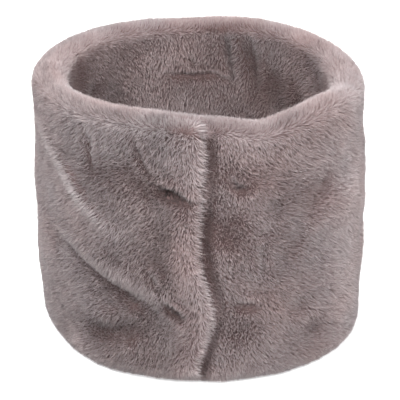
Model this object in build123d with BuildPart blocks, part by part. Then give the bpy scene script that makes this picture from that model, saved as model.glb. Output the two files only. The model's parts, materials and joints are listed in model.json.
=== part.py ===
"""Faux-fur hand muff: a short double-walled fur tube with a lapped front seam.

The tube stands on its hem. +Z is up along the tube's axis, -Y is the front, where the lap is,
and the origin is the centre of the flat ring that the hem rests on. Millimetres and degrees.
"""

import os
from math import asin, cos, degrees, radians, sin

from build123d import *

# Overall size
OUTER_DIAMETER = 230.0
HEIGHT = 190.0
HEM_SQUASH = 1.5  # the hem's round edge flattens this much where it stands

# Layers of the wall, from either face inwards
PILE = 10.0
BACKING = 1.2
WADDING = 3.0
CLEARANCE = 0.3  # between neighbouring layers

# Front lap: the left end of the outer fur runs over the right end
LAP_EDGE_ANGLE = 2.5  # free edge, counted from the front towards +X
LAP_ROOT_ANGLE = -11.2  # where the lap is sewn down and folds
LAP_THICKNESS = 8.0  # fur and facing together
LAP_FACING = 1.2
LAP_TRIM = 2.0  # the lap stops this far short of the hem and the rim
LAP_EDGE_ROUND = 3.0

# Seams
SEAM_SLIT = 0.4  # degrees left between the two sewn ends of a fur
THREAD_DIAMETER = 0.5
THREAD_CHANNEL_DIAMETER = 1.0
EDGE_THREAD_INSET = 1.8  # degrees from the lap's free edge
TAPE_WIDTH = 12.0
TAPE_THICKNESS = 0.6
TAPE_END_MARGIN = 4.0
GAP_STITCH_COUNT = 12
GAP_STITCH_LENGTH = 5.0
GAP_STITCH_PITCH = 7.5
ROW_TO_GAP = 4.0  # from the end stitch of the gap to the machine row

# Derived sizes
FUR = PILE + BACKING
WALL = 2 * FUR + WADDING + 2 * CLEARANCE
CORE = WALL - 2 * FUR
OUTER_R = OUTER_DIAMETER / 2
MID_R = OUTER_R - WALL / 2
TOP_CENTRE_Z = HEIGHT - WALL / 2
HEM_CENTRE_Z = WALL / 2 - HEM_SQUASH
WALL_CENTRE_Z = (TOP_CENTRE_Z + HEM_CENTRE_Z) / 2
WALL_SPAN = TOP_CENTRE_Z - HEM_CENTRE_Z
OUTER_BACKING_R = OUTER_R - FUR
LINING_BACKING_R = MID_R - CORE / 2
UNDERLAP_R = OUTER_R - LAP_THICKNESS - CLEARANCE
FACING_OUTER_R = OUTER_R - LAP_THICKNESS + LAP_FACING
LAP_GAP = degrees(asin(CLEARANCE / OUTER_R))
SEAM_ANGLE = LAP_ROOT_ANGLE - SEAM_SLIT / 2
TOP_THREAD_Z = TOP_CENTRE_Z + CORE / 2 + BACKING / 2
HEM_THREAD_Z = HEM_CENTRE_Z - CORE / 2 - BACKING / 2
TAPE_OUTER_R = OUTER_BACKING_R - CLEARANCE


def wall_plane(angle):
    """Return the upright plane through the tube's axis at an angle from the front."""
    azimuth = radians(angle - 90)
    return Plane(
        origin=(0, 0, 0),
        x_dir=(cos(azimuth), sin(azimuth), 0),
        z_dir=(sin(azimuth), -cos(azimuth), 0),
    )


def fur_section(side):
    """Return the C-shaped section of the outer fur (side 1) or of the lining (side -1)."""
    with BuildSketch(wall_plane(LAP_ROOT_ANGLE)) as section:
        with Locations((MID_R, WALL_CENTRE_Z)):
            SlotCenterToCenter(WALL_SPAN, WALL, rotation=90)
            SlotCenterToCenter(WALL_SPAN, CORE, rotation=90, mode=Mode.SUBTRACT)
        with Locations((MID_R - side * (WALL - CLEARANCE) / 2, WALL_CENTRE_Z)):
            Rectangle(WALL, 2 * HEIGHT, mode=Mode.SUBTRACT)
        with Locations((MID_R, -WALL)):
            Rectangle(2 * WALL, 2 * WALL, mode=Mode.SUBTRACT)
        with Locations((MID_R, TOP_THREAD_Z), (MID_R, HEM_THREAD_Z)):
            Circle(THREAD_CHANNEL_DIAMETER / 2, mode=Mode.SUBTRACT)
    return section.sketch


def band_section(angle, inner_r, outer_r, low_z, high_z):
    """Return an upright rectangle between two radii, to turn into a band round the tube."""
    with BuildSketch(wall_plane(angle)) as section:
        with Locations(((inner_r + outer_r) / 2, (low_z + high_z) / 2)):
            Rectangle(outer_r - inner_r, high_z - low_z)
    return section.sketch


def lap_section(inner_r, outer_r):
    """Return the lap's section between two radii, inside the outer fur's rounded outline."""
    with BuildSketch(wall_plane(LAP_ROOT_ANGLE + LAP_GAP)) as section:
        with Locations((MID_R, WALL_CENTRE_Z)):
            SlotCenterToCenter(WALL_SPAN, WALL, rotation=90)
        with Locations(((inner_r + outer_r) / 2, HEIGHT / 2)):
            Rectangle(outer_r - inner_r, HEIGHT - 2 * LAP_TRIM, mode=Mode.INTERSECT)
    return section.sketch


def thread_plane(angle, radius, low_z):
    """Return the level plane at the foot of an upright thread."""
    azimuth = radians(angle - 90)
    return Plane.XY.offset(low_z).move(Location((radius * cos(azimuth), radius * sin(azimuth), 0)))


# Outer fur: a ring slit where its two ends are sewn, thinned where the lap lies over it
with BuildPart() as outer_fur_panel:
    revolve(fur_section(1), axis=Axis.Z)
    revolve(
        band_section(SEAM_ANGLE - SEAM_SLIT / 2, MID_R - CORE, OUTER_R + CORE, -CORE, HEIGHT + CORE),
        axis=Axis.Z,
        revolution_arc=SEAM_SLIT,
        mode=Mode.SUBTRACT,
    )
    revolve(
        band_section(LAP_ROOT_ANGLE, UNDERLAP_R, OUTER_R + CORE, -CORE, HEIGHT + CORE),
        axis=Axis.Z,
        revolution_arc=LAP_EDGE_ANGLE - LAP_ROOT_ANGLE + LAP_GAP,
        mode=Mode.SUBTRACT,
    )

# Lining: the same fur inside, pile towards the hands, slit at the same place
with BuildPart() as inner_fur_lining:
    revolve(fur_section(-1), axis=Axis.Z)
    revolve(
        band_section(SEAM_ANGLE - SEAM_SLIT / 2, MID_R - WALL, MID_R + CORE, -CORE, HEIGHT + CORE),
        axis=Axis.Z,
        revolution_arc=SEAM_SLIT,
        mode=Mode.SUBTRACT,
    )

# Wadding between the furs, open behind the seam, where the tape lies
with BuildPart() as wadding_layer:
    tape_half_angle = degrees(asin((TAPE_WIDTH / 2 + 2 * CLEARANCE) / MID_R))
    revolve(
        band_section(
            SEAM_ANGLE + tape_half_angle,
            MID_R - WADDING / 2,
            MID_R + WADDING / 2,
            HEM_CENTRE_Z,
            TOP_CENTRE_Z,
        ),
        axis=Axis.Z,
        revolution_arc=360 - 2 * tape_half_angle,
    )

# Woven tape behind the outer fur's seam
with BuildPart() as seam_stay_tape:
    tape_arc = 2 * degrees(asin(TAPE_WIDTH / 2 / TAPE_OUTER_R))
    revolve(
        band_section(
            SEAM_ANGLE - tape_arc / 2,
            TAPE_OUTER_R - TAPE_THICKNESS,
            TAPE_OUTER_R,
            HEM_CENTRE_Z + TAPE_END_MARGIN,
            TOP_CENTRE_Z - TAPE_END_MARGIN,
        ),
        axis=Axis.Z,
        revolution_arc=tape_arc,
    )

# Lap: the fur that shows, with the channel for the thread near its free edge
edge_thread_angle = LAP_EDGE_ANGLE - EDGE_THREAD_INSET
lap_arc = LAP_EDGE_ANGLE - LAP_ROOT_ANGLE - LAP_GAP
lap_fur_inner_r = FACING_OUTER_R + CLEARANCE
edge_thread_r = FACING_OUTER_R + CLEARANCE / 2
lap_low_z = LAP_TRIM
lap_high_z = TOP_CENTRE_Z + WALL / 4
with BuildPart() as lap_lip_fur:
    revolve(lap_section(lap_fur_inner_r, OUTER_R), axis=Axis.Z, revolution_arc=lap_arc)
    free_edge = lap_lip_fur.edges().filter_by(Axis.Z).sort_by(Axis.X)[-2:].sort_by(Axis.Y)[0]
    fillet(free_edge, LAP_EDGE_ROUND)
    with BuildSketch(thread_plane(edge_thread_angle, edge_thread_r, -CORE)):
        Circle(THREAD_CHANNEL_DIAMETER / 2)
    extrude(amount=HEIGHT + 2 * CORE, mode=Mode.SUBTRACT)

# Knit backing turned under the lap
with BuildPart() as lap_lip_facing:
    revolve(
        lap_section(OUTER_R - LAP_THICKNESS, FACING_OUTER_R),
        axis=Axis.Z,
        revolution_arc=lap_arc - EDGE_THREAD_INSET / 2,
    )
    with BuildSketch(thread_plane(edge_thread_angle, edge_thread_r, -CORE)):
        Circle(THREAD_CHANNEL_DIAMETER / 2)
    extrude(amount=HEIGHT + 2 * CORE, mode=Mode.SUBTRACT)

# Thread that holds the turned edge of the lap
with BuildPart() as lip_edge_stitching:
    with BuildSketch(thread_plane(edge_thread_angle, edge_thread_r, lap_low_z + LAP_TRIM)):
        Circle(THREAD_DIAMETER / 2)
    extrude(amount=lap_high_z - lap_low_z - LAP_TRIM)

# Thread that joins the two ends of the outer fur, in the slit at the backing's level
with BuildPart() as closing_seam_stitching:
    with BuildSketch(thread_plane(SEAM_ANGLE, OUTER_BACKING_R + BACKING / 2, HEM_CENTRE_Z)):
        Circle(THREAD_DIAMETER / 2)
    extrude(amount=WALL_SPAN)

# The lining's seam: machine rows above and below the gap the tube was turned through
lining_thread_r = LINING_BACKING_R - BACKING / 2
gap_span = (GAP_STITCH_COUNT - 1) * GAP_STITCH_PITCH + GAP_STITCH_LENGTH
row_length = (WALL_SPAN - gap_span) / 2 - ROW_TO_GAP
with BuildPart() as lining_seam_stitching:
    for row_low_z in (HEM_CENTRE_Z, TOP_CENTRE_Z - row_length):
        with BuildSketch(thread_plane(SEAM_ANGLE, lining_thread_r, row_low_z)):
            Circle(THREAD_DIAMETER / 2)
        extrude(amount=row_length)

# Hand stitches that close the gap
with BuildPart() as turning_gap_stitches:
    for index in range(GAP_STITCH_COUNT):
        stitch_low_z = WALL_CENTRE_Z - gap_span / 2 + index * GAP_STITCH_PITCH
        with BuildSketch(thread_plane(SEAM_ANGLE, lining_thread_r, stitch_low_z)):
            Circle(THREAD_DIAMETER / 2)
        extrude(amount=GAP_STITCH_LENGTH)

# Threads that join the two furs round the rim and round the hem
with BuildPart() as top_rim_stitching:
    with BuildSketch(wall_plane(0)):
        with Locations((MID_R, TOP_THREAD_Z)):
            Circle(THREAD_DIAMETER / 2)
    revolve(axis=Axis.Z)

with BuildPart() as bottom_rim_stitching:
    with BuildSketch(wall_plane(0)):
        with Locations((MID_R, HEM_THREAD_Z)):
            Circle(THREAD_DIAMETER / 2)
    revolve(axis=Axis.Z)

sub_parts = {
    "outer_fur_panel": outer_fur_panel,
    "inner_fur_lining": inner_fur_lining,
    "wadding_layer": wadding_layer,
    "seam_stay_tape": seam_stay_tape,
    "lap_lip_fur": lap_lip_fur,
    "lap_lip_facing": lap_lip_facing,
    "lip_edge_stitching": lip_edge_stitching,
    "closing_seam_stitching": closing_seam_stitching,
    "lining_seam_stitching": lining_seam_stitching,
    "turning_gap_stitches": turning_gap_stitches,
    "top_rim_stitching": top_rim_stitching,
    "bottom_rim_stitching": bottom_rim_stitching,
}

os.makedirs("parts", exist_ok=True)
for name, sub_part in sub_parts.items():
    sub_part.part.label = name
    export_step(sub_part.part, f"parts/{name}.step")
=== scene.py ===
"""The looks of the faux-fur hand muff: fur grown strand by strand over a padded tube.

Lengths are in metres and angles in degrees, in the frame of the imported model: +Z is up, -Y the
front. A place on the fur is given by its angle round from the front, towards +X, and by its way
along the wall's rounded section, from under the hem, up the outside, over the rim and down inside.
"""
import json
from math import cos, pi, radians, sin

import bpy
import numpy as np
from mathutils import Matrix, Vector


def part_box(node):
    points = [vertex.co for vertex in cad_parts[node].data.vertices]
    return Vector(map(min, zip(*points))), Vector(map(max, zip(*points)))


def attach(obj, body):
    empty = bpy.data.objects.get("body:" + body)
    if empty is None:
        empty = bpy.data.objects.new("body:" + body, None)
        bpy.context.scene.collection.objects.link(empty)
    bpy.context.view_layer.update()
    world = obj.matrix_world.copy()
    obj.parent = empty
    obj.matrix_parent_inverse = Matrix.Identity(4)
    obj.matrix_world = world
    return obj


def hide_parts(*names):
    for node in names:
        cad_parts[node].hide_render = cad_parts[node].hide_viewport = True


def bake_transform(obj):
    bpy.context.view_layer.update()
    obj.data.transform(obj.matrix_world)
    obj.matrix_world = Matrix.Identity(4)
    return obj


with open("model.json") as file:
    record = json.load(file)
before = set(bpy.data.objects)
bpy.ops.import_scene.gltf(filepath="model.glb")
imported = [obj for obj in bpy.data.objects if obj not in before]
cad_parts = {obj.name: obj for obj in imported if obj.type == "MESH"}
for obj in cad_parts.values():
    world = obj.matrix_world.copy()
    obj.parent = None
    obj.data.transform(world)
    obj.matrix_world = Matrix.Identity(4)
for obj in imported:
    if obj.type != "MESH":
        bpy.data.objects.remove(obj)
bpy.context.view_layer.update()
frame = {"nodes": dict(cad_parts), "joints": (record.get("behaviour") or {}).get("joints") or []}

MM = 0.001

# ---------------------------------------------------------------- sizes read from the frame
PANEL_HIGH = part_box("outer_fur_panel")[1]
LINING_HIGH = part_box("inner_fur_lining")[1]
LAP_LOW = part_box("lap_lip_fur")[0]
OUTER_R = PANEL_HIGH.x
MID_R = LINING_HIGH.x
HALF_WALL = OUTER_R - MID_R
HEIGHT = PANEL_HIGH.z
HINGE = frame["joints"][0]["pos_m"]
HINGE_ANGLE = float(np.degrees(np.arctan2(HINGE[0], -HINGE[1])))
ROOT_X = radians(HINGE_ANGLE) * OUTER_R  # the lap's root, as an arc from the front

# ---------------------------------------------------------------- form of the wall
HEM_SQUASH = 1.5 * MM  # the hem's round edge is flattened this much
PILE = 5.0 * MM  # from the ground of the fur to the tips
GROUND = HALF_WALL - PILE  # half thickness of the wall without its pile
BACK = 3.0 * MM  # half thickness of the hollow between the two furs
WADDING_CLEAR = 2.0 * MM  # nothing of the fur comes nearer than this to the wall's middle
TOP_Z = HEIGHT - HALF_WALL
HEM_Z = HALF_WALL - HEM_SQUASH
STRAIGHT = TOP_Z - HEM_Z
QUARTER = pi / 2 * HALF_WALL
RIM_WAY = STRAIGHT + 2 * QUARTER  # the way from under the hem to the top of the rim
# The ways where the section's curved and straight stretches meet, and at each the direction that it
# faces, as a turn up from straight out, and the height of the middle of the wall
SECTION_WAYS = (0, QUARTER, QUARTER + STRAIGHT, 3 * QUARTER + STRAIGHT,
                3 * QUARTER + 2 * STRAIGHT, 2 * RIM_WAY)
SECTION_TURNS = (-pi / 2, 0, 0, pi, pi, 3 * pi / 2)
SECTION_HEIGHTS = (HEM_Z, HEM_Z, TOP_Z, TOP_Z, HEM_Z, HEM_Z)
CIRCUMFERENCE = 2 * pi * OUTER_R
FLOOR_GAP = 0.4 * MM
LEAN = -0.016  # the tube leans a little to its left, seen from the front
FLARE = 2.2 * MM  # the wall stands out this much below its middle
LEAST_SHELL = 0.12  # the shell under the fur keeps this share of its thickness in the deepest fold
SWELL_HEIGHT = 1.1 * MM
LUMP_HEIGHT = 0.32 * MM
RIM_CALM = 0.5  # the share of the swell and lumps that the top rim loses
SPLAY = 4 * MM  # how far the hem stands out where it splays most
FAR = 1e9  # further than any gap over the fur
TINY = 1e-9

# ---------------------------------------------------------------- folds, and the lap
STEP_REACH = 15 * MM  # how far from its line a step has faded to a third
STEP_SLOPE = 1.3  # how sharply a step rises over its width
END_STRENGTH = 0.35  # what is left of a line's effect at its two ends
SHOULDER = 0.3  # height of the ridge beside a crease, as a share of the crease's depth
SHOULDER_AT = 1.9  # how far from the crease it is, in widths of the crease
SHOULDER_WIDTH = 0.9

# The lap's free edge: height and how far it stands right of the front, in millimetres, and how deep
# the gap beside it is, as a share of the recess
# The gap's share also sets how dark the painted shadow beside the edge is.
LAP_EDGE = (
    (0, -3.6, 1.0), (12, -2.8, 0.9), (21, -1.4, 0.75), (28, 1.4, 0.6), (36, 4.0, 0.5), (45, 6.8, 0.45),
    (54, 8.6, 0.45), (63, 7.8, 0.6), (74, 5.2, 0.95), (85, 2.6, 1.0), (104, 0.0, 0.95), (117, 0.8, 0.8),
    (130, 2.4, 0.45), (142, 3.0, 0.45), (156, 3.8, 0.85), (173, 5.0, 0.9), (183, 3.8, 0.5),
    (196, 2.4, 0.3),
)
EDGE_ROUNDING = 4 * MM  # the corners of that line are rounded over this much
EDGE_PILE = 0.75 * PILE  # the pile stands this far past the edge of the lap's cloth
LAP_SKIN = 2.4 * MM  # thickness of the lap without its pile
LAP_STIFF = 4.0 * MM  # the lap's dents are this much shallower than the wall's
LAP_CALM = 0.3  # the share of the folds that shows on the lap's inner face
LAP_THIN = 0.8 * MM  # the inner face stays at least this far behind the outer one
LAP_BLEND = 0.5 * MM  # and eases between the two over about this much
LAP_DEEPEST = 6 * MM  # nothing of the lap sinks further than this, even at its root
LAP_PROUD = 0.4 * MM  # the lap lies this much higher than the fur that it goes on from
LAP_BULGE = 4.2 * MM  # how far the lap and the fur beside it stand out
BULGE_START = 26 * MM  # the bulge begins this far left of the edge
BULGE_TOP = 5 * MM  # and is full from here
BULGE_END = 3 * MM  # and ends this far right of the edge
RECESS = 5.8 * MM  # how deep the fur lies under the lap
RECESS_RAMP = 9.5 * MM  # and how far right of the edge it takes to come up again
PRESSED = 0.45  # the length of the pile there, as a share of the whole
BEND_LEFT = 10 * MM  # the fur bends from this far left of the hinge
STITCH_PITCH = 4.5 * MM
STITCH_INSET = 3.0 * MM  # from the turned edge
THREAD_R = 0.3 * MM
FINE_STEP = 0.4 * MM  # the step over which the lap's normals are measured


class Line:
    """A line over the fur, through (angle, height in mm) points."""

    def __init__(self, points, width, inside):
        self.points = np.array([(radians(a) * OUTER_R, outer_way(z * MM, inside)) for a, z in points])
        self.middle = self.points.mean(axis=0)[0]
        self.width = width * MM
        self.reach = max(4 * self.width, 2 * STEP_REACH)

    def __call__(self, x, way):
        """What the line does at arcs x and ways along the section: nothing out of its reach."""
        x = self.middle + (x - self.middle + CIRCUMFERENCE / 2) % CIRCUMFERENCE - CIRCUMFERENCE / 2
        low, high = self.points.min(axis=0) - self.reach, self.points.max(axis=0) + self.reach
        near = (x > low[0]) & (x < high[0]) & (way > low[1]) & (way < high[1])
        out = np.zeros(np.shape(x))
        if near.any():
            out[near] = self.effect(*self.measure(x[near], way[near]))
        return out

    def measure(self, x, way):
        """Distance from the line, signed distance to its left, and strength, less at its ends."""
        nearest = np.full(np.shape(x), FAR)
        share = np.zeros(np.shape(x))
        side = np.zeros(np.shape(x))
        lengths = np.hypot(*np.diff(self.points, axis=0).T)
        ends = np.concatenate([[0], np.cumsum(lengths)])
        for (ax, ay), (bx, by), start, length in zip(self.points, self.points[1:], ends, lengths):
            t = np.clip(((x - ax) * (bx - ax) + (way - ay) * (by - ay)) / length**2, 0, 1)
            gap = np.hypot(x - ax - t * (bx - ax), way - ay - t * (by - ay))
            closer = gap < nearest
            nearest = np.where(closer, gap, nearest)
            share = np.where(closer, (start + t * length) / ends[-1], share)
            left = (bx - ax) * (way - ay) - (by - ay) * (x - ax)
            side = np.where(closer, left / length, side)
        return nearest, side, END_STRENGTH + (1 - END_STRENGTH) * np.sin(pi * share)


class Fold(Line):
    """A crease, ridge or step: how far it moves the surface out.

    A depth in millimetres sinks the line, with a shoulder on each side, or raises it if negative.
    A step raises what lies left of the line, as it runs, and sinks what lies right of it.
    """

    def __init__(self, points, depth, width, step=0.0, inside=False):
        super().__init__(points, width, inside)
        self.depth = depth * MM
        self.step = step * MM

    def effect(self, nearest, side, strength):
        q = nearest / self.width
        shoulder = SHOULDER if self.depth > 0 else 0.0
        crease = np.exp(-q**2) - shoulder * np.exp(-((q - SHOULDER_AT) / SHOULDER_WIDTH) ** 2)
        step = np.tanh(STEP_SLOPE * side / self.width) * np.exp(-((nearest / STEP_REACH) ** 2))
        return strength * (self.step * step - self.depth * crease)


class BrushedWithPaintedLight(Line):
    """Pile brushed along a line, with painted light along it.

    It has a lean round and along the tube, and a tone of painted light: painted shade below 0 and
    painted highlight above it.
    """

    def __init__(self, points, round_lean, along_lean, width, tone=0.0, inside=False):
        super().__init__(points, width, inside)
        self.change = round_lean, along_lean, tone

    def effect(self, nearest, side, strength):
        return strength * np.exp(-((nearest / self.width) ** 2))


def outer_way(z, inside=False):
    """The way along the section at a height on the straight outside, or inside."""
    way = QUARTER + z - HEM_Z
    return 2 * RIM_WAY - way if inside else way


LAP_WAYS = (outer_way(LAP_LOW.z) + 1 * MM, RIM_WAY - 6 * MM)  # the lap's lower and upper ends

# Places are (degrees from the front, height in millimetres), and sizes are in millimetres
FRONT_FOLDS = (
    Fold([(-72, 162), (-63, 156), (-53, 143.5), (-48, 138), (-40, 123), (-30, 110)], -3.0, 3.0, -1.2),
    Fold([(-40.5, 172), (-39.6, 162), (-39, 148)], 3.6, 3.0),
    Fold([(-22, 175), (-19.5, 164), (-18, 157), (-16, 151)], 1.8, 2.2),
    Fold([(-12.5, 142), (-9.5, 141), (-5.5, 139)], 7.5, 3.2),
    Fold([(-6.5, 139), (-3.5, 138), (-0.5, 137)], 2.2, 2.0),
    Fold([(-11, 130), (-6, 127), (-2, 125)], -1.4, 5.0),
    Fold([(-52, 93), (-45, 87), (-39, 81), (-30, 73), (-22, 68), (-15, 64), (-10, 60)], 0.8, 5.0, 3.2),
    Fold([(-12, 64), (-9, 59.5), (-6.5, 55)], 6.8, 2.8),
    Fold([(-46, 30), (-33, 34), (-22, 41), (-15, 47)], 2.2, 6.5),
    Fold([(-16, 83), (-14, 76)], 3.2, 2.8),
    Fold([(-36, 43), (-32, 46)], -2.0, 6.0),
    Fold([(-26, 55), (-23, 52)], -2.0, 5.0),
    Fold([(-26, 30), (-25, 16)], -1.6, 4.0),
    Fold([(11.4, 150), (13, 146), (15.4, 146.4)], 3.6, 2.8),
    Fold([(62, 138), (56, 130), (45, 123), (38, 110), (33, 96), (29, 84)], 0.6, 8.0, 2.0),
    Fold([(21, 101), (20.5, 91), (21.3, 80)], 2.6, 3.0),
    Fold([(12, 62.5), (20, 59.5)], 3.0, 3.0),
    Fold([(47, 142), (49, 127)], 1.3, 8.0),
    Fold([(32, 54), (39, 50)], 2.0, 5.5),
    Fold([(40, 34), (48, 28)], 1.5, 6.0),
    Fold([(20, 134), (29, 128)], 1.8, 6.0),
)
INSIDE_FOLDS = (
    Fold([(198, 151), (184, 147), (172, 148), (164, 142)], 3.4, 2.2, inside=True),
    Fold([(167, 178), (166, 160), (164, 146)], 2.4, 4.5, inside=True),
    Fold([(156, 180), (154, 160), (153, 138)], 2.8, 5.5, inside=True),
    Fold([(184, 164), (182, 154)], 2.0, 2.6, inside=True),
    Fold([(-125, 160), (-122, 120), (-128, 80)], 3.0, 8.0, inside=True),
    Fold([(128, 150), (122, 110), (126, 70)], 3.0, 9.0, inside=True),
)
BACK_FOLDS = (
    Fold([(100, 142), (118, 130), (140, 134)], 2.4, 6.0, 1.4),
    Fold([(-150, 120), (-120, 98), (-100, 104)], 2.0, 6.5, 2.4),
    Fold([(172, 66), (150, 50), (128, 58)], 2.8, 6.0, 1.2),
    Fold([(-172, 172), (-168, 152), (-160, 138)], 3.0, 3.6),
    Fold([(-100, 48), (-118, 40), (-134, 44)], 2.6, 7.0),
    Fold([(90, 70), (96, 50), (110, 40)], 2.4, 7.0),
)
FOLDS = FRONT_FOLDS + INSIDE_FOLDS + BACK_FOLDS

# Each line's tone, the number after its width, is painted light: painted shade below 0 and painted
# highlight above it.
BRUSHED_WITH_PAINTED_LIGHT = (
    # Painted highlight along the left diagonal ridge and the fold's crest below it.
    BrushedWithPaintedLight([(-70, 160), (-53, 143), (-42, 124), (-28, 108)], -0.45, -0.45, 4.5, 0.55),
    BrushedWithPaintedLight([(-50, 96), (-44, 92), (-37, 85), (-29, 78), (-20, 73), (-10, 65)], -0.1, -0.5, 7, 0.1),
    BrushedWithPaintedLight([(-62, 135), (-44, 112), (-20, 120)], 0, -0.2, 20),
    # Painted highlight along the front of the rim.
    BrushedWithPaintedLight([(-26, 182), (-15, 183), (-5, 184)], 0, 0.1, 5.5, 0.5),
    BrushedWithPaintedLight([(-6, 122), (-8, 96), (-4, 72)], 0.2, -0.3, 7),
    # Painted shade down the left side and along the left of the rim.
    BrushedWithPaintedLight([(-86, 40), (-76, 100), (-86, 160)], 0.1, -0.5, 16, -0.05),
    BrushedWithPaintedLight([(-100, 172), (-84, 170), (-66, 172)], 0, 0, 12, -0.15),
    # Painted highlight down the right side.
    BrushedWithPaintedLight([(62, 15), (60, 80), (62, 155)], 0.1, -0.35, 22, 0.42),
    BrushedWithPaintedLight([(88, 15), (90, 80), (88, 155)], 0.1, -0.35, 22, 0.2),
    BrushedWithPaintedLight([(60, 150), (48, 158), (34, 160)], 0.2, -0.25, 10),
    BrushedWithPaintedLight([(-44, 78), (-34, 66), (-24, 58), (-16, 52)], 0.25, 0.4, 10),
    BrushedWithPaintedLight([(-50, 28), (-33, 33), (-18, 42)], 0.25, 0.4, 10),
    BrushedWithPaintedLight([(-52, 158), (-42, 148), (-34, 130)], 0.2, 0.15, 9),
    BrushedWithPaintedLight([(-24, 156), (-18, 142), (-15, 126)], 0.1, 0.15, 8),
    BrushedWithPaintedLight([(-22, 116), (-14, 100), (-12, 88)], 0.0, 0.25, 8),
    BrushedWithPaintedLight([(10, 176), (12, 110), (13, 40)], -0.1, 0.1, 10),
    BrushedWithPaintedLight([(16, 140), (28, 134), (44, 130)], -0.1, 0.15, 10),
    BrushedWithPaintedLight([(38, 38), (47, 30)], -0.15, 0.15, 9),
    # Painted shade in the creases and pits of the front.
    BrushedWithPaintedLight([(-22, 174), (-19.5, 163), (-18, 156), (-16, 150)], 0, 0, 2.2, -0.7),
    BrushedWithPaintedLight([(-12.5, 141), (-9.5, 140), (-5.5, 138)], 0, 0.3, 4.2, -3.0),
    BrushedWithPaintedLight([(-6, 138), (-3.5, 137), (-0.5, 136)], 0, 0, 1.8, -0.6),
    BrushedWithPaintedLight([(-11.5, 63), (-9, 58.8), (-6.5, 55)], 0, 0.3, 3.4, -2.3),
    BrushedWithPaintedLight([(11.4, 149), (13, 145), (15.4, 145.4)], 0, 0, 2.2, -0.8),
    # Painted shade in the lining's creases and on its far wall.
    BrushedWithPaintedLight([(168, 176), (166, 160), (165, 146)], 0, 0, 4, -0.4, inside=True),
    BrushedWithPaintedLight([(160, 176), (156, 160), (154, 140)], 0, -0.3, 8, -0.3, inside=True),
    BrushedWithPaintedLight([(140, 150), (134, 120), (140, 90)], 0, -0.3, 18, -0.15, inside=True),
    # Painted highlight on the lining at the back.
    BrushedWithPaintedLight([(205, 130), (192, 110), (180, 120)], 0.2, 0.3, 14, 0.25, inside=True),
    BrushedWithPaintedLight([(190, 166), (200, 160), (210, 166)], 0.1, 0.3, 10, 0.15, inside=True),
)


def waves(seed, count, shortest, longest):
    """A smooth random field over the fur, closed round the tube, of about -1 to 1."""
    rng = np.random.default_rng(seed)
    lengths = rng.uniform(shortest, longest, count)
    headings = rng.uniform(0, 2 * pi, count)
    across = 2 * pi * np.round(CIRCUMFERENCE * np.cos(headings) / lengths) / CIRCUMFERENCE
    along = 2 * pi * np.sin(headings) / lengths
    phases = rng.uniform(0, 2 * pi, count)

    def field(x, way):
        total = np.zeros(np.shape(x))
        for kx, ky, phase in zip(across, along, phases):
            total += np.cos(kx * x + ky * way + phase)
        return total * np.sqrt(1.4 / count)

    return field


# Each field has its seed, its number of waves, and their shortest and longest lengths
slow_swell = waves(11, 10, 60 * MM, 160 * MM)
soft_lumps = waves(12, 24, 16 * MM, 40 * MM)
lay_across = waves(13, 24, 22 * MM, 70 * MM)
lay_along = waves(14, 24, 22 * MM, 70 * MM)
tuft_across = waves(15, 40, 2 * MM, 4 * MM)
tuft_along = waves(16, 40, 2 * MM, 4 * MM)
length_field = waves(17, 40, 5 * MM, 14 * MM)


def smooth(low, high, value):
    t = np.clip((value - low) / (high - low), 0, 1)
    return t * t * (3 - 2 * t)


def way_height(way):
    """The height that a way along the outside has, running on past the rounded ends."""
    return way - QUARTER + HEM_Z


def along_lap(way, column):
    """A column of LAP_EDGE, at a way along the outside, with its corners rounded."""
    heights = np.array([row[0] for row in LAP_EDGE]) * MM
    values = np.array([row[column] for row in LAP_EDGE])
    z = way_height(way)
    shifts = (-EDGE_ROUNDING, 0, EDGE_ROUNDING)
    return sum(np.interp(z + shift, heights, values) for shift in shifts) / len(shifts)


def edge_x(way):
    """Where the lap's free edge is, as an arc from the front."""
    return along_lap(way, 1) * MM


def cloth_edge(way):
    """Where the lap's cloth ends, under the pile of its free edge."""
    return edge_x(way) - EDGE_PILE


def outside(way):
    """1 on the outside of the tube, and 0 inside it, easing over the rim and under the hem."""
    return smooth(-6 * MM, 0, way) * (1 - smooth(RIM_WAY - 6 * MM, RIM_WAY + 2 * MM, way))


def rim_share(way):
    """1 on the top rim, easing to 0 about 25 mm down the wall on both sides."""
    return 1 - smooth(QUARTER, 2.2 * QUARTER, np.abs(np.mod(way, 2 * RIM_WAY) - RIM_WAY))


def swell(x, way, dents=1.0):
    """How far the wall stands out from its plain form, by its lumps and a share of its folds."""
    lumps = SWELL_HEIGHT * slow_swell(x, way) + LUMP_HEIGHT * soft_lumps(x, way)
    return lumps * (1 - RIM_CALM * rim_share(way)) + dents * folded(x, way)


def folded(x, way):
    """How far all the folds together move the wall out."""
    out = np.zeros(np.shape(x))
    for fold in FOLDS:
        out += fold(x, way)
    return out


def lap_span(way, ease):
    """1 between the lap's two ends, easing to 0 past them."""
    low, high = LAP_WAYS
    return smooth(low - ease, low, way) * (1 - smooth(high, high + ease, way))


def under_lap(x, way):
    """How far in the fur lies under the lap and beside its edge, from 0 to 1 of the recess."""
    edge = edge_x(way)
    beside = smooth(edge - 6 * MM, edge, x)
    rise = (1 - smooth(edge, edge + RECESS_RAMP, x)) * (1 - beside * (1 - along_lap(way, 2)))
    return rise * smooth(ROOT_X + 0.4 * MM, ROOT_X + 2.4 * MM, x) * lap_span(way, 4 * MM)


def lap_bulge(x, way):
    """How far the left end of the fur stands out beside the lap's edge."""
    edge = edge_x(way)
    rise = smooth(edge - BULGE_START, edge - BULGE_TOP, x) * (1 - smooth(edge, edge + BULGE_END, x))
    low, high = LAP_WAYS
    ends = smooth(low, low + 14 * MM, way) * (1 - smooth(high - 12 * MM, high, way))
    return LAP_BULGE * rise * ends


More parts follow.
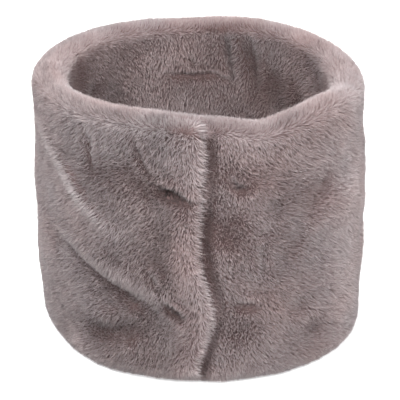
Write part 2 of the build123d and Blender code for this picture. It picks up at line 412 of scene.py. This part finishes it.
def section(way, half):
    """Radius, height and outward normal of the wall's section, half its thickness being given."""
    way = np.mod(way, 2 * RIM_WAY)
    turn = np.interp(way, SECTION_WAYS, SECTION_TURNS)
    centre = np.interp(way, SECTION_WAYS, SECTION_HEIGHTS)
    out_r, out_z = np.cos(turn), np.sin(turn)
    return MID_R + half * out_r, centre + half * out_z, out_r, out_z


def bump(angle, at, width):
    """1 at a place round the tube, in degrees, easing to 0 at about twice the width from it."""
    gap = (np.degrees(angle) - at + 180) % 360 - 180
    return np.exp(-((gap / width) ** 2))


def rim_rise(angle):
    """How far the rim stands above its plain height: high at the back and left, with a front dip.

    The heights are in millimetres, and each bump's place and width in degrees.
    """
    broad = 0.4 - 2.4 * np.sin(angle) - 1.0 * np.cos(angle) + 1.0 * np.cos(2 * angle)
    back = 2.2 * bump(angle, 133, 22) - 2.4 * bump(angle, -162, 24)
    front = 3.0 * bump(angle, -14, 22) - 4.2 * bump(angle, 23, 10) + 3.2 * bump(angle, 52, 16)
    return MM * (broad + back + front)


def hem_splay(angle, z):
    """How far the wall stands out near the hem, where it splays at both sides of the front."""
    return SPLAY * (1 - smooth(0, 0.3 * HEIGHT, z)) * (bump(angle, -26, 13) + bump(angle, 42, 18))


def settle(x_arc, r, z):
    """Turns arc, radius and height into a point, with the tube's lean, flare and uneven rim."""
    angle = x_arc / OUTER_R
    flare = smooth(0.08 * HEIGHT, 0.3 * HEIGHT, z) * (1 - smooth(0.55 * HEIGHT, 0.85 * HEIGHT, z))
    r = r + FLARE * flare + hem_splay(angle, z)
    z = z + smooth(0.4 * HEIGHT, HEIGHT, z) * rim_rise(angle)
    x = r * np.sin(angle) + LEAN * (z - HEIGHT / 2)
    return np.stack([x, -r * np.cos(angle), z], -1)


def body_surface(x, way, half=GROUND, under=None):
    """A point on the ground of the fur, which always clears the wadding."""
    r, z, out_r, out_z = section(way, half)
    under = under_lap(x, way) if under is None else under
    shift = swell(x, way) + lap_bulge(x, way) * (1 - under) - RECESS * under
    shift = np.maximum(shift, WADDING_CLEAR + LEAST_SHELL * (half - BACK) - half)
    return settle(x, r + shift * out_r, z + shift * out_z)


def body_form(x, way):
    """The surface near some places of the body, as if its step under the lap went on at one depth."""
    under = under_lap(x, way)
    return lambda near_x, near_way: body_surface(near_x, near_way, GROUND, under)


def lap_form(x, way):
    """The surface near some places of the lap: the same one at them all."""
    return lap_surface


def lap_shift(x, way, dents=1.0):
    """How far the lap's outer face stands out from the wall's plain form."""
    deepest = -LAP_DEEPEST + LAP_STIFF * smooth(ROOT_X - 2 * MM, ROOT_X + 4 * MM, x)
    return np.maximum(swell(x, way, dents) + lap_bulge(x, way) + LAP_PROUD, deepest)


def lap_surface(x, way):
    """A point on the lap's outer face: the left end of the fur, run on past its seam."""
    r, z, out_r, out_z = section(way, GROUND)
    shift = lap_shift(x, way)
    return settle(x, r + shift * out_r, z + shift * out_z)


def lap_back(x, way):
    """A point on the lap's inner face: calmer than the outer one, and always behind it."""
    r, z, out_r, out_z = section(way, GROUND)
    calm = LAP_SKIN - lap_shift(x, way, LAP_CALM)
    behind = LAP_THIN - lap_shift(x, way)
    shift = -LAP_BLEND * np.logaddexp(calm / LAP_BLEND, behind / LAP_BLEND)
    return settle(x, r + shift * out_r, z + shift * out_z)


def normals(surface, x, way, step):
    """Outward unit normals, and unit tangents round and along, over a step each way on a surface."""
    round_ = surface(x + step, way) - surface(x - step, way)
    along = surface(x, way + step) - surface(x, way - step)
    out = np.cross(round_, along)
    return [v / np.linalg.norm(v, axis=-1, keepdims=True) for v in (out, round_, along)]


# ---------------------------------------------------------------- meshes
RING_ROWS = 130
NEAR_LEFT = -32 * MM  # the columns beside the lap run from here
NEAR_RIGHT = 26 * MM  # to here
NEAR_STEP = 0.7 * MM
FAR_COLUMNS = 260  # the columns round the rest of the tube
LAP_ROWS = 150
LAP_COLUMNS = 26
GROUND_CLEAR = 2 * MM  # the ground of the fur stays this far above the floor


def new_mesh(name, points, corners, starts):
    mesh = bpy.data.meshes.new(name)
    mesh.vertices.add(len(points))
    mesh.vertices.foreach_set("co", np.ascontiguousarray(points, np.float32).ravel())
    mesh.loops.add(len(corners))
    mesh.loops.foreach_set("vertex_index", np.ascontiguousarray(corners, np.int32))
    mesh.polygons.add(len(starts))
    mesh.polygons.foreach_set("loop_start", np.ascontiguousarray(starts, np.int32))
    mesh.polygons.foreach_set("use_smooth", np.full(len(starts), True))
    mesh.update(calc_edges=True)
    piece = bpy.data.objects.new(name, mesh)
    bpy.context.scene.collection.objects.link(piece)
    return piece


def quads_over(index):
    """The corners of the quads over a grid of vertex numbers, or over a stack of such grids."""
    corners = [index[..., :-1, :-1], index[..., :-1, 1:], index[..., 1:, 1:], index[..., 1:, :-1]]
    return np.stack(corners, -1).reshape(-1, 4)


def quad_mesh(name, points, quads):
    return new_mesh(name, points.reshape(-1, 3), quads.ravel(), np.arange(0, 4 * len(quads), 4))


def grid_mesh(name, points, close_rows, close_columns):
    """A mesh of quads over a grid of points, closed round either way if asked."""
    rows, columns = points.shape[:2]
    index = np.arange(rows * columns).reshape(rows, columns)
    if close_rows:
        index = np.vstack([index, index[:1]])
    if close_columns:
        index = np.hstack([index, index[:, :1]])
    return quad_mesh(name, points, quads_over(index))


def ring_arcs():
    """Arcs round the tube, close together at the lap, where the fur steps, and wider elsewhere."""
    near = np.arange(NEAR_LEFT, NEAR_RIGHT, NEAR_STEP)
    far = np.linspace(near[-1], near[0] + CIRCUMFERENCE, FAR_COLUMNS)[1:-1]
    return np.concatenate([near, far])


def ground_piece(name, low_way, high_way):
    """The closed shell under a fur: its ground outside, its backing towards the wadding."""
    arcs = ring_arcs()
    ways = np.linspace(low_way, high_way, RING_ROWS)
    x, way = np.meshgrid(arcs, ways)
    outer = body_surface(x, way)
    outer[..., 2] = np.maximum(outer[..., 2], GROUND_CLEAR)
    back = body_surface(x, way, BACK)[::-1]
    return grid_mesh(name, np.vstack([outer, back]), True, True)


def lap_piece(name):
    """The closed, round-edged slab under the lap's fur."""
    turns = np.linspace(0, pi, 9)[1:-1]
    inward = np.concatenate([np.zeros(LAP_COLUMNS), (1 - np.cos(turns)) / 2, np.ones(LAP_COLUMNS)])
    rows = []
    for way in np.linspace(*LAP_WAYS, LAP_ROWS):
        edge = float(cloth_edge(way)) - LAP_SKIN / 2
        x = np.linspace(ROOT_X + 0.3 * MM, edge, LAP_COLUMNS)
        reach = np.concatenate([x, edge + LAP_SKIN / 2 * np.sin(turns), x[::-1]])
        way_all = np.full(len(reach), way)
        front, back = lap_surface(reach, way_all), lap_back(reach, way_all)
        rows.append(front + (back - front) * inward[:, None])
    return grid_mesh(name, np.array(rows), False, True)


def edge_stitches(name):
    """The row of stitches that holds the turned edge, on the lap's inner face beside its wavy edge.

    Each stitch is a short round thread that comes out of the cloth, lies on it and goes in again.
    """
    turns = np.linspace(0, 2 * pi, 8, endpoint=False)[:, None]
    outward, sideways = np.cos(turns), np.sin(turns)
    rows = []
    for low in np.arange(LAP_WAYS[0] + STITCH_PITCH, LAP_WAYS[1] - STITCH_PITCH, STITCH_PITCH):
        way = low + STITCH_PITCH * np.array([0, 0.08, 0.5, 0.82, 0.9])
        x = cloth_edge(way) - STITCH_INSET
        out, round_, _ = normals(lap_back, x, way, FINE_STEP)
        sunk = THREAD_R * np.array([1.5, -0.5, -0.9, -0.5, 1.5])
        middle = lap_back(x, way) + out * sunk[:, None]
        ring = outward * out[:, None] + sideways * round_[:, None]
        rows.append(middle[:, None] + THREAD_R * ring)
    points = np.array(rows)
    count, along, round_count = points.shape[:3]
    index = np.arange(count * along * round_count).reshape(count, along, round_count)
    index = np.concatenate([index, index[..., :1]], axis=2)
    return quad_mesh(name, points, quads_over(index))


def lap_inner_faces(piece):
    """1 for the lap's faces that look back at the tube, and 0 for the rest."""
    faces = piece.data.polygons
    middle, normal = np.empty(3 * len(faces)), np.empty(3 * len(faces))
    faces.foreach_get("center", middle)
    faces.foreach_get("normal", normal)
    away = (middle.reshape(-1, 3)[:, :2] * normal.reshape(-1, 3)[:, :2]).sum(axis=1)
    return (away < 0).astype(np.int32)


# ---------------------------------------------------------------- fur
TUFT = 1.3 * MM
TUFT_TALL = 1.8  # a tuft is this many times taller than it is wide
TUFT_SEED = 5
HASH = 509  # the tufts' random numbers repeat after this many tufts
GATHER = 0.42  # how far a strand's tip moves towards the middle of its tuft
STRAY = 0.14  # how much each strand leans on its own
WANDER = 0.11  # how far the lay of the pile wanders over a few centimetres
TUFT_WANDER = 0.10  # and over a few millimetres
MOST_LEAN = 0.85
LEAN_SINKS = 0.8  # how much of its height a strand loses as it leans
ROOT_SUNK = 0.10  # how deep its root is in the ground, as a share of its length
CURVE = 1.6  # a strand bends over towards its tip by this power
# The darkening of the pile in a crease is painted shade.
CREASE_SHORT = 0.4  # how much shorter, and
CREASE_PAINTED_SHADE = 0.7  # how much darker, the pile is at the bottom of a crease
TONE_SHIFT = -0.06  # the tone of all the fur, to which rough fur adds
ROUGH_TONE = 0.3
ROOT_PALE = 0.45  # how far up its colours the root of a strand begins where the pile is smooth
STRAND_WIDTH = 0.37 * MM
CREASE_DEPTH = 7 * MM  # the pile is shortest and darkest in a crease this deep
PILE_SPAN = 3.5 * MM  # the pile stands square to the wall over this much of it, not to each crease


def tuft_centres(x, way):
    """The nearest tuft's middle for each strand, and that tuft's own random number."""
    rng = np.random.default_rng(TUFT_SEED)
    jitter = rng.uniform(0.1, 0.9, (HASH, HASH, 2))
    tone = rng.uniform(0, 1, (HASH, HASH))
    cell_x = np.floor(x / TUFT).astype(int)
    cell_way = np.floor(way / TUFT).astype(int)
    best = np.full(x.shape, FAR)
    centre_x, centre_way, own = x.copy(), way.copy(), np.zeros(x.shape)
    for dx in (-1, 0, 1):
        for dy in (-1, 0, 1):
            i, j = (cell_x + dx) % HASH, (cell_way + dy) % HASH
            px = (cell_x + dx + jitter[i, j, 0]) * TUFT
            py = (cell_way + dy + jitter[i, j, 1]) * TUFT
            gap = np.hypot(x - px, way - py)
            closer = gap < best
            best = np.where(closer, gap, best)
            centre_x = np.where(closer, px, centre_x)
            centre_way = np.where(closer, py, centre_way)
            own = np.where(closer, tone[i, j], own)
    return centre_x, centre_way, own


def scatter(low_x, high_x, low_way, high_way, spacing, seed):
    """Roots spread evenly, each moved a little at random, over a patch of the fur."""
    rng = np.random.default_rng(seed)
    arcs, ways = [], []
    for way in np.arange(low_way + spacing / 2, high_way, spacing):
        radius = section(np.array([way]), HALF_WALL)[0][0]
        count = int(round((high_x - low_x) * radius / OUTER_R / spacing))
        places = (np.arange(count) + 0.5 + rng.uniform(-0.5, 0.5, count)) / count
        arcs.append(low_x + (high_x - low_x) * places)
        ways.append(way + spacing * rng.uniform(-0.5, 0.5, count))
    return np.concatenate(arcs), np.concatenate(ways)


# Each lay function gives the pile's lean round and along the tube, as shares of its length, and its
# tone, which is painted light: painted shade below 0 and painted highlight above it
def lay_at_rim(x, way):
    """The pile at the top: up towards the crest, swept back on the shoulders, down below them."""
    past = np.mod(way, 2 * RIM_WAY) - RIM_WAY
    gap = np.abs(past)
    back = np.tanh(4 * np.sin(x / OUTER_R + radians(12)))
    shoulder = np.exp(-(((gap - 14 * MM) / (5 * MM)) ** 2))
    up = 0.35 * (1 - smooth(9 * MM, 16 * MM, gap))
    down = 0.28 * smooth(13 * MM, 20 * MM, gap) * (1 - smooth(26 * MM, 50 * MM, gap)) * (past < 0)
    across = 0.55 * back * shoulder
    along = (down - up) * np.tanh(past / (3 * MM))
    # Painted light on the rim's shoulders: painted highlight at the front and back, turning to painted
    # shade at the sides.
    tone = shoulder * (0.16 - 0.28 * np.sin(x / OUTER_R) ** 2)
    return across, along, tone


def lay_at_edge(x, way):
    """The pile beside the lap's free edge: a ridge swept over it with a painted highlight, then a band
    of painted shadow, then plain.
    """
    gap = x - edge_x(way)
    out = outside(way)
    ridge = smooth(-17 * MM, -3 * MM, gap) * (gap < 3 * MM) * out
    beside = smooth(-1 * MM, 3 * MM, gap) * (1 - smooth(5 * MM, 11 * MM, gap)) * out * along_lap(way, 2)
    right = smooth(20 * MM, 60 * MM, gap) * (1 - smooth(100 * MM, 140 * MM, x)) * out
    across = 0.3 * ridge + 0.15 * right
    along = 0.35 * beside - 0.15 * ridge
    # Painted light: a painted highlight on the ridge, the lap's painted shadow in the band beside its
    # edge, as deep as the gap there, and a little painted shade further right.
    tone = 0.12 * ridge - 0.35 * beside - 0.1 * right
    return across, along, tone


def lay_inside(x, way):
    """The pile of the lining: up and towards the front at both sides, and down at the back."""
    inner = (1 - outside(way)) * smooth(8 * MM, 20 * MM, np.mod(way, 2 * RIM_WAY) - RIM_WAY)
    side = np.sin(x / OUTER_R) * inner
    back = inner * (1 - smooth(-0.9, -0.3, np.cos(x / OUTER_R)))
    across = -0.45 * side
    along = 0.25 * back - 0.2 * np.abs(side)
    # Painted shade on the lining, most at the back and a little at the sides.
    tone = -0.22 * back - 0.04 * np.abs(side)
    return across, along, tone


def lay(x, way):
    """The lay of the pile anywhere, with its painted shade and highlights: its own wandering, the
    brushed lines and the parts above.
    """
    across = WANDER * lay_across(x, way) + TUFT_WANDER * tuft_across(x, way)
    along = WANDER * lay_along(x, way) + TUFT_WANDER * tuft_along(x, way)
    tone = np.zeros(np.shape(x))
    for patch in BRUSHED_WITH_PAINTED_LIGHT:
        share = patch(x, way)
        across += patch.change[0] * share
        along += patch.change[1] * share
        tone += patch.change[2] * share
    for part in (lay_at_rim, lay_at_edge, lay_inside):
        more = part(x, way)
        across += more[0]
        along += more[1]
        tone += more[2]
    return across, along, tone


def roughness(x, way):
    """How much the tufts stand apart, from 0 to 1: most at the left of the front."""
    left = 1 - smooth(-26 * MM, -12 * MM, x)
    return 0.1 + 0.9 * left * outside(way)


def grow(name, surface, form, x, way, seed, length=PILE, turn=None, painted_highlight=0.0):
    """One mesh of leaf-shaped strands, two triangles each, rooted on a surface at given places."""
    rng = np.random.default_rng(seed)
    count = len(x)
    root = surface(x, way)
    out, round_, along = normals(form(x, way), x, way, PILE_SPAN)
    if turn is not None:
        out = turn(out, round_, x, way)
    centre_x, centre_way, tuft_dark = tuft_centres(x, way / TUFT_TALL)
    across_lean, along_lean, tone = lay(x, way)
    rough = roughness(x, way)
    gather = GATHER * (0.5 + 0.5 * rough) / PILE
    stray = STRAY * (0.6 + 0.5 * rough)
    across_lean = across_lean + gather * (centre_x - x) + stray * rng.normal(0, 1, count)
    along_lean = along_lean + gather * (TUFT_TALL * centre_way - way) + stray * rng.normal(0, 1, count)
    size = np.hypot(across_lean, along_lean)
    cap = np.minimum(1, MOST_LEAN / np.maximum(size, TINY))
    across_lean, along_lean, size = across_lean * cap, along_lean * cap, size * cap
    crease = smooth(0.1, 1, -folded(x, way) / CREASE_DEPTH)
    length = length * (1 - CREASE_SHORT * crease)
    shorter = rng.uniform(0, 1, count) * (0.28 - 0.12 * rough)
    reach = length * (1.06 + 0.05 * length_field(x, way) - shorter)
    rise = np.sqrt(1 - LEAN_SINKS * size**2)
    side = round_ * across_lean[:, None] + along * along_lean[:, None]

    def at(t):
        """The strands' points at a share of the way from root to tip, none of them in the floor."""
        upward = out * (t * rise - ROOT_SUNK * (1 - t))[:, None]
        point = root + reach[:, None] * (upward + side * t**CURVE)
        point[:, 2] = np.maximum(point[:, 2], FLOOR_GAP + 0.3 * MM * rng.uniform(0, 1, count))
        return point

    low, middle, tip = at(0.0), at(0.5), at(1.0)
    spin = rng.uniform(0, 2 * pi, count)
    facing = round_ * np.cos(spin)[:, None] + along * np.sin(spin)[:, None]
    blade = np.cross(tip - low, facing)
    blade /= np.maximum(np.linalg.norm(blade, axis=1, keepdims=True), TINY)
    thick = (STRAND_WIDTH * rng.uniform(0.7, 1.3, count))[:, None] / 2
    points = np.stack([low, middle + blade * thick, tip, middle - blade * thick], 1).reshape(-1, 3)
    corners = (4 * np.arange(count)[:, None] + np.array([0, 1, 3, 3, 1, 2])).ravel()
    piece = new_mesh(name, points, corners, np.arange(0, 6 * count, 3))
    own_dark = (0.3 + 0.7 * rough) * rng.uniform(0, 1, count)
    up = np.array([0, 0.5, 1, 0.5]) + np.array([ROOT_PALE, 0, 0, 0]) * (1 - rough)[:, None]
    # Shorter strands end lower on the root-to-tip colours, which darkens the pressed pile under the lap
    # and the pile in creases as painted shade, and creases are painted darker still.
    up = up * (length / PILE * (1 - CREASE_PAINTED_SHADE * crease))[:, None]
    # The tone carries the painted shade and highlights of the place, the fringe's painted highlight, a
    # paler tone for rough fur and a shift for all the fur.
    tone = tone + painted_highlight + ROUGH_TONE * rough + TONE_SHIFT
    add_strand_tones(piece, up, own_dark, tuft_dark * rough, tone)
    add_strand_map(piece, count)
    return piece


def add_strand_tones(piece, up, own_dark, tuft_dark, tone):
    """Writes the strand attribute, which the colour of the fur follows.

    Its channels are how far up the strand a point is, the strand's own paleness, its tuft's
    paleness, and the tone of the place, plain at 0.5: painted shade below it, and above it painted
    highlights and the paler tone of rough fur.
    """
    tones = np.empty((len(tone), 4, 4), np.float32)
    tones[:, :, 0] = up
    tones[:, :, 1] = (1 - own_dark)[:, None]
    tones[:, :, 2] = (1 - tuft_dark)[:, None]
    tones[:, :, 3] = np.clip(0.5 + 0.5 * tone, 0, 1)[:, None]
    strand = piece.data.attributes.new("strand", "FLOAT_COLOR", "POINT")
    strand.data.foreach_set("color", tones.ravel())


def add_strand_map(piece, count):
    """Gives each strand its own cell of a square UV map, from root at the bottom to tip."""
    cells = int(np.ceil(np.sqrt(count)))
    cell = np.stack([np.arange(count) % cells, np.arange(count) // cells], 1)[:, None, :]
    corner = np.array([(0.5, 0), (0.9, 0.5), (0.1, 0.5), (0.1, 0.5), (0.9, 0.5), (0.5, 1)])
    uv = (cell + corner[None]) / cells
    piece.data.uv_layers.new(name="OFBake").data.foreach_set("uv", uv.astype(np.float32).ravel())


# ---------------------------------------------------------------- materials
def material(name, roughness, specular=0.3, sheen=0.0):
    made = bpy.data.materials.new(name)
    made.use_nodes = True
    nodes, links = made.node_tree.nodes, made.node_tree.links
    shader = nodes["Principled BSDF"]
    shader.inputs["Roughness"].default_value = roughness
    shader.inputs["Specular IOR Level"].default_value = specular
    shader.inputs["Sheen Weight"].default_value = sheen
    shader.inputs["Sheen Roughness"].default_value = 0.5
    return made, nodes, links, shader


def node(nodes, kind, **settings):
    made = nodes.new(kind)
    for key, value in settings.items():
        setattr(made, key, value)
    return made


def noise(nodes, links, scale, detail=2.0):
    """A noise over the object's own coordinates, in cycles per metre."""
    place = node(nodes, "ShaderNodeTexCoord")
    made = node(nodes, "ShaderNodeTexNoise")
    made.inputs["Scale"].default_value = scale
    made.inputs["Detail"].default_value = detail
    links.new(place.outputs["Object"], made.inputs["Vector"])
    return made.outputs["Fac"]


def ramp(nodes, links, value, stops):
    made = node(nodes, "ShaderNodeValToRGB")
    elements = made.color_ramp.elements
    while len(elements) < len(stops):
        elements.new(0.5)
    for element, (place, colour) in zip(elements, stops):
        element.position = place
        element.color = (*colour, 1)
    links.new(value, made.inputs["Fac"])
    return made.outputs["Color"]


def mixed(nodes, links, kind, share, a, b):
    """A Mix node of colours: share, a and b are each a socket or a constant."""
    made = node(nodes, "ShaderNodeMix", data_type="RGBA", blend_type=kind)
    for key, value in ((0, share), (6, a), (7, b)):
        if isinstance(value, bpy.types.NodeSocket):
            links.new(value, made.inputs[key])
        else:
            made.inputs[key].default_value = value
    return made.outputs[2]


WHITE = (1.0, 1.0, 1.0)
ROOT_COLOUR = (0.18, 0.100, 0.098)
MIDDLE_COLOUR = (0.54, 0.410, 0.402)
TIP_COLOUR = (0.70, 0.635, 0.638)
# Painted highlights, and the paler tone of rough fur, mix the fur towards this colour.
PALE_COLOUR = (0.86, 0.82, 0.83)
TINT_SCALE = 22  # warm and cool patches a metre


def fur_material(name):
    """Strand colour: dark at the root, pale at the tip, with each tuft and patch a little its own,
    darkened by painted shade and paled by painted highlights and the rough fur's tone.
    """
    made, nodes, links, shader = material(name, 0.75, 0.2, 0.1)
    strand = node(nodes, "ShaderNodeAttribute", attribute_name="strand")
    parts = node(nodes, "ShaderNodeSeparateColor")
    links.new(strand.outputs["Color"], parts.inputs["Color"])
    stops = [(0, ROOT_COLOUR), (0.5, MIDDLE_COLOUR), (1, TIP_COLOUR)]
    along = ramp(nodes, links, parts.outputs["Red"], stops)
    warm_cool = [(0.35, (1.0, 0.965, 0.96)), (0.65, (0.955, 0.985, 1.0))]
    tint = ramp(nodes, links, noise(nodes, links, TINT_SCALE), warm_cool)
    tinted = mixed(nodes, links, "MULTIPLY", 1.0, along, tint)
    tuft = ramp(nodes, links, parts.outputs["Blue"], [(0, (0.62, 0.59, 0.59)), (1, WHITE)])
    tufted = mixed(nodes, links, "MULTIPLY", 1.0, tinted, tuft)
    own = ramp(nodes, links, parts.outputs["Green"], [(0, (0.62, 0.60, 0.60)), (1, WHITE)])
    plain = mixed(nodes, links, "MULTIPLY", 1.0, tufted, own)
    # Painted shade: a tone below plain darkens the strand.
    dark = ramp(nodes, links, strand.outputs["Alpha"], [(0, (0.10, 0.09, 0.09)), (0.5, WHITE)])
    shaded = mixed(nodes, links, "MULTIPLY", 1.0, plain, dark)
    # Painted highlight, with the paler tone of rough fur: a tone above plain mixes the strand towards a
    # pale colour.
    pale = ramp(nodes, links, strand.outputs["Alpha"], [(0.5, (0.0, 0.0, 0.0)), (1, (0.6, 0.6, 0.6))])
    final = mixed(nodes, links, "MIX", pale, shaded, (*PALE_COLOUR, 1))
    links.new(final, shader.inputs["Base Color"])
    return made


def ground_material(name, colour, scale):
    """The dark ground under the pile, or a plain cloth, mottled at a given scale."""
    made, nodes, links, shader = material(name, 0.9, 0.2)
    dark = tuple(0.7 * c for c in colour)
    mottle = ramp(nodes, links, noise(nodes, links, scale, 4.0), [(0.35, dark), (0.65, colour)])
    links.new(mottle, shader.inputs["Base Color"])
    return made


RIB_SCALE = 6.28  # a Wave texture's bands, and the gaps between, are 1 / (this times its scale) wide


def knit_material(name, colour, rib):
    """A knitted or woven cloth, or a twisted thread: crossed fine ribs of a given width."""
    made, nodes, links, shader = material(name, 0.85, 0.2)
    place = node(nodes, "ShaderNodeTexCoord")
    ribs = []
    for direction in ("X", "Z"):
        wave = node(nodes, "ShaderNodeTexWave", bands_direction=direction)
        wave.inputs["Scale"].default_value = 1 / (rib * RIB_SCALE)
        wave.inputs["Distortion"].default_value = 0.6
        links.new(place.outputs["Object"], wave.inputs["Vector"])
        ribs.append(wave.outputs["Fac"])
    crossed = node(nodes, "ShaderNodeMath", operation="MULTIPLY")
    links.new(ribs[0], crossed.inputs[0])
    links.new(ribs[1], crossed.inputs[1])
    dark = tuple(0.8 * c for c in colour)
    ribbed = ramp(nodes, links, crossed.outputs[0], [(0, dark), (0.7, colour)])
    links.new(ribbed, shader.inputs["Base Color"])
    return made


def paint(piece, made):
    piece.data.materials.clear()
    piece.data.materials.append(made)


# ---------------------------------------------------------------- camera, light and floor
CAMERA_DISTANCE = 9.86 * OUTER_R
CAMERA_ELEVATION = radians(24.16)
CAMERA_DROP = 8.6 * MM  # the view's middle is this far under the tube's
CAMERA_LENS = 143.7


def add_camera():
    middle = Vector((0, 0, HEIGHT / 2))
    data = bpy.data.cameras.new("camera")
    data.lens = CAMERA_LENS
    camera = bpy.data.objects.new("camera", data)
    towards = Vector((0, -cos(CAMERA_ELEVATION), sin(CAMERA_ELEVATION)))
    camera.location = middle + CAMERA_DISTANCE * towards
    aim = middle - Vector((0.7 * MM, 0, CAMERA_DROP)) - camera.location
    camera.rotation_euler = aim.to_track_quat("-Z", "Y").to_euler()
    bpy.context.scene.collection.objects.link(camera)
    bpy.context.scene.camera = camera


def add_light(name, place, size, power):
    data = bpy.data.lights.new(name, "AREA")
    data.shape = "DISK"
    data.size = size
    data.energy = power
    light = bpy.data.objects.new(name, data)
    light.location = place
    aim = Vector((0, 0, HEIGHT / 2)) - Vector(place)
    light.rotation_euler = aim.to_track_quat("-Z", "Y").to_euler()
    bpy.context.scene.collection.objects.link(light)


def add_stage():
    bpy.ops.mesh.primitive_plane_add(size=12, location=(0, 0, 0))
    floor = bpy.context.active_object
    floor.name = "studio_floor"
    floor.visible_diffuse = False
    made, nodes, links, shader = material("studio_floor", 0.9, 0.1)
    shader.inputs["Base Color"].default_value = (0.93, 0.93, 0.93, 1)
    shader.inputs["Emission Color"].default_value = (1, 1, 1, 1)
    shader.inputs["Emission Strength"].default_value = 0.6
    paint(floor, made)
    add_sky()
    add_light("key", (-0.6, -1.3, 1.7), 1.0, 34)
    add_light("fill", (1.5, -0.6, 1.2), 1.2, 18)
    add_light("front", (0.1, -1.8, 1.3), 1.4, 20)
    add_light("top", (0.0, 0.0, 1.9), 1.6, 11)
    add_light("back", (-0.2, 2.0, 0.8), 1.6, 34)
    bpy.context.scene.view_settings.view_transform = "Standard"


def add_sky():
    """Even white light from all round above, and a weaker one from the floor's side."""
    world = bpy.data.worlds.new("studio")
    world.use_nodes = True
    nodes, links = world.node_tree.nodes, world.node_tree.links
    place = node(nodes, "ShaderNodeTexCoord")
    split = node(nodes, "ShaderNodeSeparateXYZ")
    links.new(place.outputs["Generated"], split.inputs["Vector"])
    stops = [(0, (0.12, 0.115, 0.115)), (0.1, (1, 1, 1))]
    links.new(ramp(nodes, links, split.outputs["Z"], stops), nodes["Background"].inputs["Color"])
    nodes["Background"].inputs["Strength"].default_value = 0.5
    bpy.context.scene.world = world


# ---------------------------------------------------------------- building
THREAD_COLOUR = (0.2, 0.16, 0.16)
THREAD_TWIST = 0.3 * MM

add_camera()
add_stage()

fur = fur_material("fur_outer")
lining_fur = fur_material("fur_lining")
ground = ground_material("fur_ground", (0.22, 0.145, 0.14), 260)
knit = knit_material("knit_backing", (0.40, 0.33, 0.32), 1.4 * MM)

outer_ground = ground_piece("outer_fur_ground", 0, RIM_WAY)
lining_ground = ground_piece("lining_fur_ground", RIM_WAY, 2 * RIM_WAY)
for piece, name, slot in ((outer_ground, "outer_fur_panel", "outer_fur"),
                          (lining_ground, "inner_fur_lining", "lining_fur")):
    paint(piece, ground)
    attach(piece, "muff")
    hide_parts(name)

lip_thread = edge_stitches("lip_edge_thread")
paint(lip_thread, knit_material("lip_edge_thread", THREAD_COLOUR, THREAD_TWIST))
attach(lip_thread, "lap")
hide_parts("lip_edge_stitching")

lap_ground = lap_piece("lap_ground")
paint(lap_ground, ground)
lap_ground.data.materials.append(knit)
lap_ground.data.polygons.foreach_set("material_index", lap_inner_faces(lap_ground))
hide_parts("lap_lip_fur", "lap_lip_facing")

OUTER_SPACING = 0.60 * MM
LINING_SPACING = 0.66 * MM
LAP_SPACING = 0.54 * MM
OUTER_SEED = 100
LINING_SEED = 200
LAP_SEED = 500
LAP_FUR_RIGHT = 12 * MM  # the lap's free edge is nowhere further right than this
FRINGE_RAGGED = 0.2  # how uneven the pile is at the free edge, as a share of its length
# How much paler the fringe is painted, as a painted highlight.
FRINGE_PAINTED_HIGHLIGHT = 0.15


def fur_sectors(name, low_way, high_way, spacing, sectors, made, seed):
    """The fur of one panel, round the tube from the seam, as a piece for each sector."""
    for number in range(sectors):
        low = ROOT_X + CIRCUMFERENCE * number / sectors
        x, way = scatter(low, low + CIRCUMFERENCE / sectors, low_way, high_way, spacing, seed + number)
        x = (x + CIRCUMFERENCE / 2) % CIRCUMFERENCE - CIRCUMFERENCE / 2
        bends = (x > ROOT_X - BEND_LEFT) & (x < ROOT_X) & (way > LAP_WAYS[0]) & (way < LAP_WAYS[1])
        x, way = x[~bends], way[~bends]
        length = PILE * (1 - (1 - PRESSED) * under_lap(x, way))
        piece = grow(f"{name}_{number + 1}", body_surface, body_form, x, way, seed + 50 + number, length)
        paint(piece, made)
        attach(piece, "muff")


fur_sectors("outer_fur", 0, RIM_WAY, OUTER_SPACING, 6, fur, OUTER_SEED)
fur_sectors("lining_fur", RIM_WAY, 2 * RIM_WAY, LINING_SPACING, 4, lining_fur,
            LINING_SEED)


def over_edge(out, round_, x, way):
    """Turns the pile over the lap's free edge, from straight out to right across."""
    edge = cloth_edge(way)
    turn = smooth(edge - 4 * MM, edge, x) * radians(80)
    return out * np.cos(turn)[:, None] + round_ * np.sin(turn)[:, None]


def bend_at_root(piece):
    """Bakes the piece's placement into its mesh."""
    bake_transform(piece)


x, way = scatter(ROOT_X - BEND_LEFT, LAP_FUR_RIGHT, *LAP_WAYS, LAP_SPACING, LAP_SEED)
on_lap = x < cloth_edge(way)
x, way = x[on_lap], way[on_lap]
fringe = smooth(-5 * MM, -1 * MM, x - cloth_edge(way))
ragged = np.random.default_rng(LAP_SEED + 2).uniform(-1, 1, len(x))
uneven = PILE * (1 + FRINGE_RAGGED * fringe * ragged)
# Painted highlight on the fringe at the lap's free edge.
painted_highlight = FRINGE_PAINTED_HIGHLIGHT * fringe
lap_fur = grow("lap_fur", lap_surface, lap_form, x, way, LAP_SEED + 1, uneven, over_edge, painted_highlight)
paint(lap_fur, fur)
bend_at_root(lap_fur)
bend_at_root(lap_ground)

HIDDEN_CLOTHS = (
    ("wadding_layer", (0.85, 0.85, 0.83), 3 * MM),
    ("seam_stay_tape", (0.5, 0.45, 0.45), 0.6 * MM),
    ("closing_seam_stitching", THREAD_COLOUR, THREAD_TWIST),
    ("lining_seam_stitching", THREAD_COLOUR, THREAD_TWIST),
    ("turning_gap_stitches", (0.22, 0.18, 0.18), THREAD_TWIST),
    ("top_rim_stitching", THREAD_COLOUR, THREAD_TWIST),
    ("bottom_rim_stitching", THREAD_COLOUR, THREAD_TWIST),
)
for name, colour, rib in HIDDEN_CLOTHS:
    paint(frame["nodes"][name], knit_material(name, colour, rib))
